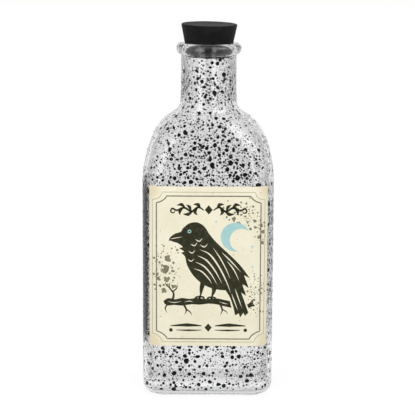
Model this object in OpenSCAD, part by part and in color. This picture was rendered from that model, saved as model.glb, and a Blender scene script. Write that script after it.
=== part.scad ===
/* [Body] */
// Outside width of the body, across the label
body_w = 101; // [86:0.5:116]
// Outside depth of the body, front to back
body_d = 76; // [64:0.5:90]
// Radius of the body's four upright corners
corner_r = 17.2; // [12:0.1:24]
// Height at which the straight walls end and the shoulder begins
wall_h = 167.3; // [140:0.5:200]
// Thickness of the glass in the walls
wall_t = 3; // [2:0.1:4]

/* [Base] */
// Radius of the heel, where the walls turn in to the base
heel_r = 9; // [4:0.5:11]
// Width of the flat ring that the bottle stands on
foot_w = 5; // [3:0.5:8]
// Rise of the hollow under the base
push_up = 2.5; // [1:0.1:4]
// Thickness of the glass over the standing ring
base_t = 7; // [6:0.5:10]
// Radius inside the body, between the floor and the walls
floor_r = 8; // [4:0.5:12]

/* [Shoulder] */
// Radius of the long first curve, where the shoulder leaves the wall
shoulder_r = 83.8; // [70:1:100]
// Angle that the first curve turns through, in degrees
shoulder_turn = 20.5; // [14:0.5:26]
// Radius of the rounder curve above it
crown_r = 46.6; // [40:0.5:60]
// Radius of the hollow curve between the shoulder and the neck
neck_fillet_r = 8.4; // [4:0.2:12]
// How much rounder the corners grow halfway up the shoulder
corner_swell = 4.2; // [0:0.2:6]

/* [Neck and lip] */
// Bore of the neck
bore_d = 37; // [32:0.5:42]
// Thickness of the glass in the neck
neck_wall = 2.8; // [2:0.1:4]
// Length of the neck, from the shoulder to the top of the lip
neck_h = 45; // [36:0.5:60]
// How much the neck widens at its foot, on the radius
flare = 0.6; // [0.2:0.1:1.5]
// Height over which the neck's foot widens
flare_h = 14; // [8:1:20]
// Height of the rolled lip
lip_h = 8.9; // [7:0.1:11]
// How far the lip stands out from the neck
lip_proud = 3.8; // [2.5:0.1:5]
// Radius of the lip's inner edge
lip_round = 1.5; // [0.8:0.1:2]
// Radius of the small hollow under the lip
lip_fillet = 0.8; // [0.4:0.1:1.5]

/* [Stopper] */
// Length of the stopper
stopper_h = 25; // [18:0.5:34]
// How much wider than the bore the stopper's top is
stopper_over = 6.2; // [4:0.2:9]
// How much narrower than the bore the stopper's tip is
stopper_under = 4; // [2:0.2:6]
// Radius of the stopper's edges
stopper_edge = 1; // [0.4:0.1:2]
// Clearance between the stopper and the lip that it rests in
seat_gap = 0.15; // [0.1:0.05:0.4]

/* [Label] */
// Width of the label, measured along the paper
label_w = 93; // [74:0.5:100]
// Height of the label
label_h = 125; // [90:0.5:138]
// Distance from the label's top edge up to the shoulder
label_drop = 0.3; // [0:0.1:12]
// Thickness of the paper
paper_t = 0.2; // [0.1:0.05:0.4]
// Thickness of the glue behind the paper
glue_t = 0.05; // [0.05:0.01:0.15]

/* [Hidden] */

// Facets around one quarter of the body, and along each curve of its profile
quarter_steps = 13;
heel_steps = 6;
shoulder_steps = 5;
crown_steps = 8;
fillet_steps = 5;
dome_steps = 3;
arc_steps = 16;
turned_fn = 128;

// Least radius left on a corner that is inset by more than its own radius
least_r = 1;
// Height of body glass held inside the neck, and how far the neck laps it on each side
lap_h = 1;
lap = 0.1;

half_w = body_w / 2;
half_d = body_d / 2;
bore_r = bore_d / 2;
neck_r = bore_r + neck_wall;
foot_r = neck_r + flare;

// Steepest slope of the shoulder, where its crown meets the hollow curve
shoulder_reach = half_w - foot_r;
curve_drop = shoulder_r * (1 - cos(shoulder_turn)) + crown_r * cos(shoulder_turn) + neck_fillet_r;
slope = acos((curve_drop - shoulder_reach) / (crown_r + neck_fillet_r));

// Points of the shoulder's outside profile: half width, height, and angle from the upright
function first_curve(a) = [half_w - shoulder_r * (1 - cos(a)), wall_h + shoulder_r * sin(a), a];
first_end = first_curve(shoulder_turn);
function second_curve(a) = [
    first_end[0] - crown_r * (cos(shoulder_turn) - cos(a)),
    first_end[1] + crown_r * (sin(a) - sin(shoulder_turn)),
    a
];
second_end = second_curve(slope);
function third_curve(a) = [
    second_end[0] - neck_fillet_r * (cos(a) - cos(slope)),
    second_end[1] + neck_fillet_r * (sin(slope) - sin(a)),
    a
];
profile = concat(
    [for (k = [0:shoulder_steps]) first_curve(shoulder_turn * k / shoulder_steps)],
    [for (k = [1:crown_steps]) second_curve(shoulder_turn + (slope - shoulder_turn) * k / crown_steps)],
    [for (k = [1:fillet_steps]) third_curve(slope * (1 - k / fillet_steps))]
);
shoulder_top = third_curve(0)[1];
lip_top = shoulder_top + neck_h;

// A section is [half width, half depth, corner radius, height]
function inset(by, z) = [half_w - by, half_d - by, max(corner_r - by, least_r), z];
function scaled(section, s, z) = [section[0] * s, section[1] * s, section[2] * s, z];

// Outside section at a profile point: a rounded oblong low down that turns into a circle at the neck
function share(p) = (p[0] - foot_r) / shoulder_reach;
function half_depth(t) = foot_r + (half_d - foot_r) * t;
function corner(t) = foot_r + (corner_r - foot_r) * t + corner_swell * 4 * t * (1 - t);
function outside(p) = let (t = share(p), b = half_depth(t)) [p[0], b, min(corner(t), p[0], b), p[1]];

// Inside section at the same point, drawn in by the glass along the slope
foot_wall = foot_r - bore_r - lap;
function glass(t) = foot_wall + (wall_t - foot_wall) * t;
function inside(p) =
    let (s = outside(p), g = glass(share(p)), c = g * cos(p[2]))
    [s[0] - c, s[1] - c, max(s[2] - c, least_r), s[3] - g * sin(p[2])];

foot_ring = inset(heel_r + foot_w, 0);
last = len(profile) - 1;
bottle_sections = concat(
    [for (k = [1:dome_steps - 1]) let (s = k / dome_steps) scaled(foot_ring, s, push_up * (1 - s * s))],
    [foot_ring],
    [for (k = [0:heel_steps])
        let (a = 90 * k / heel_steps)
        inset(heel_r * (1 - sin(a)), heel_r * (1 - cos(a)))],
    [for (p = profile) outside(p)],
    [outside(profile[last] + [0, lap_h, 0]), inside(profile[last] + [0, lap_h, 0])],
    [for (k = [last:-1:0]) inside(profile[k])],
    [for (k = [heel_steps:-1:0])
        let (a = 90 * k / heel_steps)
        inset(wall_t + floor_r * (1 - sin(a)), base_t + floor_r * (1 - cos(a)))]
);

// Points round a section: each quarter's facets touch the true arc, so the flats lie exactly in place
side_count = 4 * quarter_steps;
touch = cos(45 / quarter_steps);
function ring(s) = [
    for (q = [0:3], k = [0:quarter_steps - 1])
    let (a = 90 * (q + (k + 0.5) / quarter_steps), x = q == 0 || q == 3 ? 1 : -1, y = q < 2 ? 1 : -1)
    [x * (s[0] - s[2]) + s[2] * cos(a) / touch, y * (s[1] - s[2]) + s[2] * sin(a) / touch, s[3]]
];
function next(j) = (j + 1) % side_count;

// One closed skin through a list of sections, from a middle point below to one above the last
module skin(sections, first_z, last_z) {
    n = len(sections);
    low = n * side_count;
    high = low + 1;
    points = concat([for (s = sections) each ring(s)], [[0, 0, first_z], [0, 0, last_z]]);
    faces = concat(
        [for (j = [0:side_count - 1]) [low, j, next(j)]],
        [for (i = [0:n - 2], j = [0:side_count - 1])
            each let (a = i * side_count, b = a + side_count)
            [[a + j, b + j, b + next(j)], [a + j, b + next(j), a + next(j)]]],
        [for (j = [0:side_count - 1])
            let (a = (n - 1) * side_count)
            [a + j, high, a + next(j)]]
    );
    polyhedron(points = points, faces = faces, convexity = 6);
}

// Points of an arc about a centre, from one angle to another
function arc(c, r, from, to) = [
    for (k = [0:arc_steps])
    let (a = from + (to - from) * k / arc_steps)
    [c[0] + r * cos(a), c[1] + r * sin(a)]
];

// The lip is a half round bead whose inner edge is eased into the bore
bead_r = lip_h / 2;
bead = [neck_r + lip_proud - bead_r, lip_top - bead_r];
ease = min(lip_round, bead[0] - bore_r);
under_x = neck_r + lip_fillet;
under_drop = sqrt((bead_r + lip_fillet) ^ 2 - (under_x - bead[0]) ^ 2);
under = [under_x, bead[1] - under_drop];
under_end = atan2(under_drop, bead[0] - under_x);

// The turned neck, with its widened foot, its bore and its rolled lip
module neck() {
    rotate_extrude($fn = turned_fn)
        polygon(concat(
            [[bore_r, shoulder_top], [foot_r + lap, shoulder_top], [neck_r, shoulder_top + flare_h]],
            arc(under, lip_fillet, 180, under_end),
            arc(bead, bead_r, under_end - 180, 90),
            arc([bore_r + ease, lip_top - ease], ease, 90, 180)
        ));
}

module glass_bottle() {
    color("gainsboro", 0.6)
        union() {
            skin(bottle_sections, push_up, base_t);
            neck();
        }
}

// The stopper is a plain cone that wedges in the lip's rounded edge
stopper_top_r = bore_r + stopper_over / 2;
stopper_tip_r = bore_r - stopper_under / 2;
stopper_lean = atan2(stopper_top_r - stopper_tip_r, stopper_h);
function cone_r(z) = stopper_tip_r + z * tan(stopper_lean);
function edge_centre(z) = [cone_r(z) - stopper_edge / cos(stopper_lean), z];
seat_r = bore_r + ease - (ease + seat_gap) / cos(stopper_lean);
stopper_z = lip_top - ease - (seat_r - stopper_tip_r) / tan(stopper_lean);

module rubber_stopper() {
    low = edge_centre(stopper_edge);
    high = edge_centre(stopper_h - stopper_edge);
    color("#262626")
        translate([0, 0, stopper_z])
            rotate_extrude($fn = turned_fn)
                polygon(concat(
                    [[0, 0]],
                    arc(low, stopper_edge, -90, -stopper_lean),
                    arc(high, stopper_edge, -stopper_lean, 90),
                    [[0, stopper_h]]
                ));
}

// The label lies on the front face and carries on round the two front corners
label_z = wall_h - label_drop - label_h;
paper_r = corner_r + glue_t;
flat_half = min(label_w / 2, half_w - corner_r);
wrap = max(0, label_w / 2 - flat_half) / paper_r * 180 / PI;

module paper_label() {
    color("#e8e1cb")
        translate([0, 0, label_z]) {
            translate([-flat_half, -half_d - glue_t - paper_t, 0])
                cube([2 * flat_half, paper_t, label_h]);
            for (side = [0, 1])
                if (wrap > 0)
                    mirror([side, 0, 0])
                        translate([half_w - corner_r, corner_r - half_d, 0])
                            rotate([0, 0, -90])
                                rotate_extrude(angle = wrap, $fn = turned_fn)
                                    translate([paper_r, 0])
                                        square([paper_t, label_h]);
        }
}

glass_bottle();
rubber_stopper();
paper_label();
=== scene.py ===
"""The looks of the poison bottle: spattered clear glass, a rubber stopper and an aged paper label."""

import logging
import math
from dataclasses import dataclass, field
from enum import Enum
from random import Random
from typing import Any, Iterator

import bmesh
import bpy
from mathutils import Matrix, Vector, noise
from mathutils.bvhtree import BVHTree


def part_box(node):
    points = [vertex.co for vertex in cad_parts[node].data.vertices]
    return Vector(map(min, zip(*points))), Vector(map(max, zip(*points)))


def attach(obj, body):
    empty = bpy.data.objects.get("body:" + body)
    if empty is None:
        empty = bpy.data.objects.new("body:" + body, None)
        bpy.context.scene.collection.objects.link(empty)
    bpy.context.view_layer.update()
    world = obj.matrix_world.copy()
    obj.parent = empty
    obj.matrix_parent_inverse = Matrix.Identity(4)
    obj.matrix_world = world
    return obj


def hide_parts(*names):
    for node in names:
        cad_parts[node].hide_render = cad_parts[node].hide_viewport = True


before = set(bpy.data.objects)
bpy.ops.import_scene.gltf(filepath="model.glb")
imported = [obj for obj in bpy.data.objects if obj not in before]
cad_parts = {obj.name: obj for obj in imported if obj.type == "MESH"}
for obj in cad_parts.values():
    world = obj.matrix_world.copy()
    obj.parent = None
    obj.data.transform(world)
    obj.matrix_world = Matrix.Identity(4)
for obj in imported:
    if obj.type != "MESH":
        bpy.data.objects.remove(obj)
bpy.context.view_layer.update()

MM = 0.001
log = logging.getLogger("poison_bottle")


class Body(Enum):
    """The CAD bodies that pieces move with."""

    BOTTLE = "bottle"
    STOPPER = "stopper"


class Slot(Enum):
    """The record's material slots."""

    GLASS = "glass"
    RUBBER = "rubber"
    PAPER = "paper"


def linear(code: str) -> tuple[float, float, float, float]:
    """Turns an sRGB colour into the linear one that shaders take.

    Args:
        code: The colour as six hex digits.

    Returns:
        Red, green, blue and an alpha of 1.
    """
    parts = [int(code[i:i + 2], 16) / 255 for i in (0, 2, 4)]
    red, green, blue = (p / 12.92 if p <= 0.04045 else ((p + 0.055) / 1.055) ** 2.4 for p in parts)
    return red, green, blue, 1.0


def add_node(tree: bpy.types.NodeTree, kind: str, settings: dict[str, Any] | None = None,
             inputs: dict[str | int, Any] | None = None) -> bpy.types.Node:
    """Adds one node to a material or world.

    Args:
        tree: The node tree that takes it.
        kind: The node's type, without the word ShaderNode.
        settings: The node's own properties, by name.
        inputs: A value, or the socket that feeds it, for each input by name or number.

    Returns:
        The new node.
    """
    made = tree.nodes.new("ShaderNode" + kind)
    for name, value in (settings or {}).items():
        setattr(made, name, value)
    for name, value in (inputs or {}).items():
        if isinstance(value, bpy.types.NodeSocket):
            tree.links.new(value, made.inputs[name])
        else:
            made.inputs[name].default_value = value
    return made


def new_material(name: str) -> tuple[bpy.types.Material, bpy.types.NodeTree]:
    """Makes an empty node material and returns it with its tree."""
    material = bpy.data.materials.new(name)
    material.use_nodes = True
    material.node_tree.nodes.clear()
    return material, material.node_tree


def start_clean() -> None:
    """Leaves edit mode and deselects everything, so that an operator acts on the new piece alone."""
    if bpy.context.mode != "OBJECT":
        bpy.ops.object.mode_set(mode="OBJECT")
    bpy.ops.object.select_all(action="DESELECT")


def finish_piece(piece: bpy.types.Object, name: str, body: Body, slot: Slot,
                 material: bpy.types.Material) -> bpy.types.Object:
    """Names a finished piece, gives it its material and lets it ride on its body.

    Args:
        piece: The finished mesh object, standing in place.
        name: What a person would call it.
        body: The CAD body that it moves with.
        slot: The record's material slot. It is not used.
        material: Its finish.

    Returns:
        The same piece.
    """
    if bpy.context.mode != "OBJECT":
        bpy.ops.object.mode_set(mode="OBJECT")
    piece.data.transform(piece.matrix_world)
    piece.matrix_world = Matrix.Identity(4)
    piece.name = name
    piece.data.name = name
    piece.data.materials.clear()
    piece.data.materials.append(material)
    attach(piece, body.value)
    log.info("%s: %d faces", name, len(piece.data.polygons))
    return piece


def fractions(count: int, first: int = 0) -> list[float]:
    """Even steps up to 1, starting from a given step."""
    return [k / count for k in range(first, count + 1)]


@dataclass(frozen=True)
class Section:
    """A level outline of the bottle, an oblong with round corners, in millimetres."""

    half_w: float
    half_d: float
    corner: float
    height: float

    def reach(self, angle: float) -> float:
        """Distance from the bottle's axis to the outline.

        Args:
            angle: Direction seen from above, from the right-hand side, in radians.

        Returns:
            The distance in millimetres.
        """
        c, s = abs(math.cos(angle)), abs(math.sin(angle))
        flat_w, flat_d = self.half_w - self.corner, self.half_d - self.corner
        if self.half_w * s <= flat_d * c:
            return self.half_w / c
        if self.half_d * c <= flat_w * s:
            return self.half_d / s
        along = flat_w * c + flat_d * s
        return along + math.sqrt(along ** 2 - (flat_w ** 2 + flat_d ** 2 - self.corner ** 2))

    def at(self, angle: float) -> Vector:
        """The outline's point in a direction, in metres."""
        r = self.reach(angle)
        return Vector((r * math.cos(angle), r * math.sin(angle), self.height)) * MM


def round_section(radius: float, height: float) -> Section:
    """A level outline that is a plain circle."""
    return Section(radius, radius, radius, height)


@dataclass(frozen=True)
class ClearGlass:
    """Soda-lime bottle glass: clear and glossy, greyer where the eye looks along a wall.

    A mist of black paint lies on its outside, too fine to be modelled drop by drop. Light that is
    caught inside a wall gets out after a few mirrorings, so that the bottle's edges stay pale.
    """

    tint: str = "F5F5F5"
    paint: str = "0A0A0C"
    ior: float = 1.5
    roughness: float = 0.0
    paint_roughness: float = 0.25
    absorb_colour: str = "CBCCCE"
    absorb_per_m: float = 9.0
    mist: tuple[tuple[float, float, float], ...] = ((0.45, -0.5, 0.36), (1.2, -1.1, 0.34))
    thickening: float = 0.85
    caught: float = 0.25

    def build(self) -> bpy.types.Material:
        """Builds the material, which reads the piece's own painted attribute."""
        material, tree = new_material("spattered_clear_glass")
        place = add_node(tree, "TexCoord").outputs["Object"]
        painted = add_node(tree, "Attribute", {"attribute_name": "painted"}).outputs["Fac"]
        # Values above 1 thicken the mist; beside the label this extra mist is painted shade.
        heavier_mist_and_side_shade = add_node(tree, "MapRange", {}, {
            "Value": painted, "From Min": 0.6, "From Max": 2.0,
            "To Min": -0.4 * self.thickening, "To Max": self.thickening}).outputs[0]
        bare = add_node(tree, "Math", {"operation": "GREATER_THAN"}, {0: painted, 1: 0.5}).outputs[0]
        dots: Any = 0.0
        for cell, least, most in self.mist:
            cells = add_node(tree, "TexVoronoi", {}, {"Vector": place, "Scale": 1 / (cell * MM)})
            size = add_node(tree, "MapRange", {}, {
                "Value": cells.outputs["Color"], "To Min": least, "To Max": most})
            size = add_node(tree, "Math", {"operation": "ADD"}, {0: size.outputs[0], 1: heavier_mist_and_side_shade})
            dot = add_node(tree, "Math", {"operation": "GREATER_THAN"}, {
                0: size.outputs[0], 1: cells.outputs["Distance"]})
            dots = add_node(tree, "Math", {"operation": "MAXIMUM"}, {0: dot.outputs[0], 1: dots}).outputs[0]
        mask = add_node(tree, "Math", {"operation": "MULTIPLY"}, {0: dots, 1: bare}).outputs[0]
        colour = add_node(tree, "Mix", {"data_type": "RGBA"}, {
            "Factor": mask, 6: linear(self.tint), 7: linear(self.paint)})
        clear = add_node(tree, "Math", {"operation": "SUBTRACT"}, {0: 1.0, 1: mask})
        rough = add_node(tree, "MapRange", {}, {
            "Value": mask, "To Min": self.roughness, "To Max": self.paint_roughness})
        mirrorings = add_node(tree, "LightPath").outputs["Glossy Depth"]
        solid = add_node(tree, "MapRange", {}, {
            "Value": mirrorings, "From Min": 2, "From Max": 3, "To Min": 1.0, "To Max": self.caught})
        glass = add_node(tree, "BsdfPrincipled", {}, {
            "Base Color": colour.outputs[2], "Transmission Weight": clear.outputs[0],
            "Roughness": rough.outputs[0], "IOR": self.ior, "Alpha": solid.outputs[0]})
        inner = add_node(tree, "VolumeAbsorption", {}, {
            "Color": linear(self.absorb_colour), "Density": self.absorb_per_m})
        add_node(tree, "OutputMaterial", {}, {"Surface": glass.outputs[0], "Volume": inner.outputs[0]})
        return material


@dataclass(frozen=True)
class BlackPaint:
    """Spattered black enamel: dried in low domes with a soft gloss."""

    colour: str = "0B0B0D"
    roughness: float = 0.22
    gloss: float = 0.2
    grain_mm: float = 0.3

    def build(self) -> bpy.types.Material:
        """Builds the material."""
        material, tree = new_material("black_enamel_paint")
        place = add_node(tree, "TexCoord").outputs["Object"]
        grain = add_node(tree, "TexNoise", {}, {
            "Vector": place, "Scale": 1 / (self.grain_mm * MM), "Detail": 2.0})
        rough = add_node(tree, "MapRange", {}, {
            "Value": grain.outputs[0], "To Min": self.roughness - 0.1, "To Max": self.roughness + 0.12})
        bump = add_node(tree, "Bump", {}, {
            "Height": grain.outputs[0], "Strength": 0.15, "Distance": 0.02 * MM})
        shade = add_node(tree, "MapRange", {"data_type": "FLOAT_VECTOR"}, {
            "Vector": grain.outputs[1], 9: (0.0, 0.0, 0.0), 10: (1.0, 1.0, 1.0)})
        colour = add_node(tree, "Mix", {"data_type": "RGBA", "blend_type": "MULTIPLY"}, {
            "Factor": 0.5, 6: linear(self.colour), 7: shade.outputs[1]})
        paint = add_node(tree, "BsdfPrincipled", {}, {
            "Base Color": colour.outputs[2], "Roughness": rough.outputs[0], "Normal": bump.outputs[0],
            "Specular IOR Level": self.gloss})
        add_node(tree, "OutputMaterial", {}, {"Surface": paint.outputs[0]})
        return material


@dataclass(frozen=True)
class BlackRubber:
    """Moulded black natural rubber: matte with a fine pebbled skin and blotches of dust, and a top made
    lighter by painted sheen.
    """

    colour: str = "0C0C0C"
    # Colour of the dust blotches, and of the painted sheen that lightens the top.
    dust_and_top_sheen: str = "2F2F2F"
    roughness: float = 0.75
    gloss: float = 0.15
    pebble_mm: float = 0.6
    blotch_mm: float = 6.0

    def build(self) -> bpy.types.Material:
        """Builds the material."""
        material, tree = new_material("moulded_black_rubber")
        place = add_node(tree, "TexCoord").outputs["Object"]
        pebble = add_node(tree, "TexNoise", {}, {
            "Vector": place, "Scale": 1 / (self.pebble_mm * MM), "Detail": 3.0})
        blotch = add_node(tree, "TexNoise", {}, {
            "Vector": place, "Scale": 1 / (self.blotch_mm * MM), "Detail": 4.0})
        dust_and_top_sheen_mask = add_node(tree, "MapRange", {}, {
            "Value": blotch.outputs[0], "From Min": 0.45, "From Max": 0.75, "To Max": 0.25})
        # Painted sheen: faces that point up are lightened, standing for the bright light that the stopper's
        # top mirrors.
        facing = add_node(tree, "SeparateXYZ", {}, {0: add_node(tree, "NewGeometry").outputs["Normal"]})
        painted_top_sheen = add_node(tree, "MapRange", {}, {
            "Value": facing.outputs["Z"], "From Min": 0.3, "From Max": 0.95})
        dust_and_top_sheen_mask = add_node(tree, "Math", {"operation": "MAXIMUM"}, {0: dust_and_top_sheen_mask.outputs[0], 1: painted_top_sheen.outputs[0]})
        colour = add_node(tree, "Mix", {"data_type": "RGBA"}, {
            "Factor": dust_and_top_sheen_mask.outputs[0], 6: linear(self.colour), 7: linear(self.dust_and_top_sheen)})
        rough = add_node(tree, "MapRange", {}, {
            "Value": pebble.outputs[0], "To Min": self.roughness - 0.12, "To Max": self.roughness + 0.12})
        bump = add_node(tree, "Bump", {}, {
            "Height": pebble.outputs[0], "Strength": 0.35, "Distance": 0.08 * MM})
        rubber = add_node(tree, "BsdfPrincipled", {}, {
            "Base Color": colour.outputs[2], "Roughness": rough.outputs[0], "Normal": bump.outputs[0],
            "Specular IOR Level": self.gloss})
        add_node(tree, "OutputMaterial", {}, {"Surface": rubber.outputs[0]})
        return material


@dataclass
class GlassBottle:
    """The moulded glass: oblong body, rounded shoulder, round neck and rolled lip.

    Sizes are in millimetres and those of the CAD bottle, whose box gives the width, depth and height.
    """

    corner_r: float = 17.2
    wall_h: float = 167.3
    wall_t: float = 3.0
    heel_r: float = 9.0
    foot_w: float = 5.0
    push_up: float = 2.5
    base_t: float = 7.0
    floor_r: float = 8.0
    shoulder_r: float = 83.8
    shoulder_turn: float = math.radians(20.5)
    crown_r: float = 46.6
    neck_fillet_r: float = 8.4
    corner_swell: float = 4.2
    bore_r: float = 18.5
    neck_wall: float = 2.8
    flare: float = 0.6
    flare_h: float = 14.0
    lip_h: float = 8.9
    lip_proud: float = 3.8
    lip_round: float = 1.5
    lip_fillet: float = 0.8
    film: float = 0.15
    least_corner: float = 1.0
    ripple: float = 0.05
    ripple_length: float = 26.0
    neck_spray: float = 0.12
    flat_steps: tuple[int, int] = (8, 14)
    corner_steps: int = 20

    def __post_init__(self) -> None:
        """Takes the overall sizes from the CAD box and works out the shoulder's slope."""
        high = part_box("glass_bottle")[1] / MM
        self.half_w, self.half_d, self.lip_top = high
        self.neck_r = self.bore_r + self.neck_wall
        self.foot_r = self.neck_r + self.flare
        self.reach = self.half_w - self.foot_r
        drop = self.shoulder_r * (1 - math.cos(self.shoulder_turn))
        drop += self.crown_r * math.cos(self.shoulder_turn) + self.neck_fillet_r
        self.slope = math.acos((drop - self.reach) / (self.crown_r + self.neck_fillet_r))
        self.shoulder_top = self.shoulder_profile()[-1][1]

    def shoulder_profile(self) -> list[tuple[float, float, float]]:
        """The shoulder's outside curve, from the wall up to the neck.

        Returns:
            Half width, height and angle from the upright, point by point.
        """
        points = []
        for t in fractions(12):
            a = self.shoulder_turn * t
            points.append((self.half_w - self.shoulder_r * (1 - math.cos(a)),
                           self.wall_h + self.shoulder_r * math.sin(a), a))
        x, z, start = points[-1]
        for t in fractions(20, 1):
            a = start + (self.slope - start) * t
            points.append((x - self.crown_r * (math.cos(start) - math.cos(a)),
                           z + self.crown_r * (math.sin(a) - math.sin(start)), a))
        x, z, start = points[-1]
        for t in fractions(14, 1):
            a = start * (1 - t)
            points.append((x - self.neck_fillet_r * (math.cos(a) - math.cos(start)),
                           z + self.neck_fillet_r * (math.sin(start) - math.sin(a)), a))
        return points

    def outside(self, half_w: float, height: float) -> Section:
        """The outside section at a point of the shoulder's profile."""
        t = (half_w - self.foot_r) / self.reach
        half_d = self.foot_r + (self.half_d - self.foot_r) * t
        corner = self.foot_r + (self.corner_r - self.foot_r) * t + self.corner_swell * 4 * t * (1 - t)
        skin = self.film * t
        return Section(half_w - skin, half_d - skin, min(corner, half_w, half_d) - skin, height)

    def inside(self, half_w: float, height: float, angle: float) -> Section:
        """The inside section behind a point of the shoulder's profile."""
        outer = self.outside(half_w, height)
        t = (half_w - self.foot_r) / self.reach
        neck_glass = self.foot_r - self.bore_r
        glass = neck_glass + (self.wall_t - neck_glass) * t
        inward = glass * math.cos(angle)
        return Section(outer.half_w - inward, outer.half_d - inward, outer.corner - inward,
                       height - glass * math.sin(angle))

    def inset(self, by: float, height: float) -> Section:
        """The body's section, drawn in all round."""
        by += self.film
        return Section(self.half_w - by, self.half_d - by, max(self.corner_r - by, self.least_corner), height)

    def outside_sections(self) -> list[Section]:
        """Every outside level, from the hollow under the base to the bead of the lip."""
        foot = self.inset(self.heel_r + self.foot_w, 0)
        levels = [Section(foot.half_w * s, foot.half_d * s, foot.corner * s, self.push_up * (1 - s * s))
                  for s in (0.15, 0.3, 0.5, 0.7, 0.85, 0.95, 1.0)]
        levels += [self.inset(self.heel_r * (1 - math.sin(a)), self.heel_r * (1 - math.cos(a)))
                   for a in (math.pi / 2 * t for t in fractions(12))]
        profile = self.shoulder_profile()
        rise = self.wall_h - self.heel_r
        levels += [self.inset(0, self.heel_r + rise * t) for t in fractions(20, 1)[:-1]]
        levels += [self.outside(x, z) for x, z, _ in profile]
        levels += [round_section(self.neck_r + self.flare * (1 - t) ** 2,
                                 self.shoulder_top + self.flare_h * t) for t in fractions(6, 1)]
        bead_r = self.lip_h / 2
        bead_x = self.neck_r + self.lip_proud - bead_r
        bead_z = self.lip_top - bead_r
        under_x = self.neck_r + self.lip_fillet
        under_z = bead_z - math.sqrt((bead_r + self.lip_fillet) ** 2 - (under_x - bead_x) ** 2)
        under_end = math.atan2(bead_z - under_z, bead_x - under_x)
        straight = self.shoulder_top + self.flare_h
        levels += [round_section(self.neck_r, straight + (under_z - straight) * t) for t in fractions(8, 1)]
        for t in fractions(5, 1):
            a = math.pi + (under_end - math.pi) * t
            levels.append(round_section(under_x + self.lip_fillet * math.cos(a),
                                        under_z + self.lip_fillet * math.sin(a)))
        self.lip_bottom = levels[-1].height
        for t in fractions(26, 1):
            a = under_end - math.pi + (math.pi * 1.5 - under_end) * t
            levels.append(round_section(bead_x + bead_r * math.cos(a), bead_z + bead_r * math.sin(a)))
        return levels

    def inside_sections(self) -> list[Section]:
        """Every inside level, from the lip's eased edge down to the floor."""
        ease = self.lip_round
        bend = [math.pi / 2 * (1 + t) for t in fractions(7)]
        top = self.lip_top - ease
        levels = [round_section(self.bore_r + ease * (1 + math.cos(a)), top + ease * math.sin(a))
                  for a in bend]
        bore_h = top - self.shoulder_top
        levels += [round_section(self.bore_r, top - bore_h * t) for t in fractions(12, 1)[:-1]]
        profile = self.shoulder_profile()
        levels += [self.inside(x, z, a) for x, z, a in reversed(profile)]
        drop = self.wall_h - self.base_t - self.floor_r
        levels += [self.inset(self.wall_t, self.wall_h - drop * t) for t in fractions(20, 1)[:-1]]
        levels += [self.inset(self.wall_t + self.floor_r * (1 - math.sin(a)),
                              self.base_t + self.floor_r * (1 - math.cos(a)))
                   for a in (math.pi / 2 * (1 - t) for t in fractions(10))]
        rim = levels[-1]
        levels += [Section(rim.half_w * s, rim.half_d * s, rim.corner * s, self.base_t)
                   for s in (0.8, 0.5, 0.2)]
        return levels

    def directions(self) -> list[float]:
        """The directions of a ring's points, closest together round the body's corners."""
        flat_w, flat_d = self.half_w - self.corner_r, self.half_d - self.corner_r
        low, high = math.atan2(flat_d, self.half_w), math.atan2(self.half_d, flat_w)
        quarter = [low * t for t in fractions(self.flat_steps[0])]
        quarter += [low + (high - low) * t for t in fractions(self.corner_steps, 1)]
        quarter += [high + (math.pi / 2 - high) * t for t in fractions(self.flat_steps[1], 1)]
        half = quarter + [math.pi - a for a in reversed(quarter[:-1])]
        return half[:-1] + [a + math.pi for a in half[:-1]]

    def build(self) -> bpy.types.Object:
        """Models the glass as one closed skin, extruded ring by ring.

        Returns:
            The finished piece.
        """
        outer, inner = self.outside_sections(), self.inside_sections()
        rings = self.directions()
        start_clean()
        bpy.ops.mesh.primitive_circle_add(vertices=len(rings), radius=self.half_d * MM)
        piece = bpy.context.object
        bpy.ops.object.mode_set(mode="EDIT")
        bpy.ops.mesh.select_mode(type="EDGE")
        mesh = bmesh.from_edit_mesh(piece.data)
        mesh.verts.ensure_lookup_table()
        for vert, angle in zip(mesh.verts, rings):
            vert.co = outer[0].at(angle)
        painted = mesh.verts.layers.float.new("painted")
        for number, section in enumerate(outer[1:] + inner):
            bpy.ops.mesh.extrude_edges_move()
            mesh = bmesh.from_edit_mesh(piece.data)
            painted = mesh.verts.layers.float["painted"]
            is_outside = number < len(outer) - 1
            for vert in (v for v in mesh.verts if v.select):
                angle = math.atan2(vert.co.y, vert.co.x)
                point = section.at(angle)
                if not is_outside and section.height < self.shoulder_top:
                    fade = min(1.0, (self.shoulder_top - section.height) / self.flare_h)
                    swell = noise.noise(point / (self.ripple_length * MM)) * fade
                    point += Vector((point.x, point.y, 0)).normalized() * swell * self.ripple * MM
                vert.co = point
                if is_outside and section.height < self.lip_bottom:
                    vert[painted] = self.spray(point)
        self.close_end(piece, self.base_t)
        bpy.ops.mesh.select_all(action="DESELECT")
        mesh = bmesh.from_edit_mesh(piece.data)
        for edge in mesh.edges:
            if edge.is_boundary:
                edge.select = True
        mesh.select_flush_mode()
        self.close_end(piece, self.push_up)
        bpy.ops.mesh.select_all(action="SELECT")
        bpy.ops.mesh.normals_make_consistent(inside=False)
        bpy.ops.object.mode_set(mode="OBJECT")
        bpy.ops.object.shade_smooth()
        finish_piece(piece, "spattered_glass", Body.BOTTLE, Slot.GLASS, ClearGlass().build())
        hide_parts("glass_bottle")
        return piece

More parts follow.
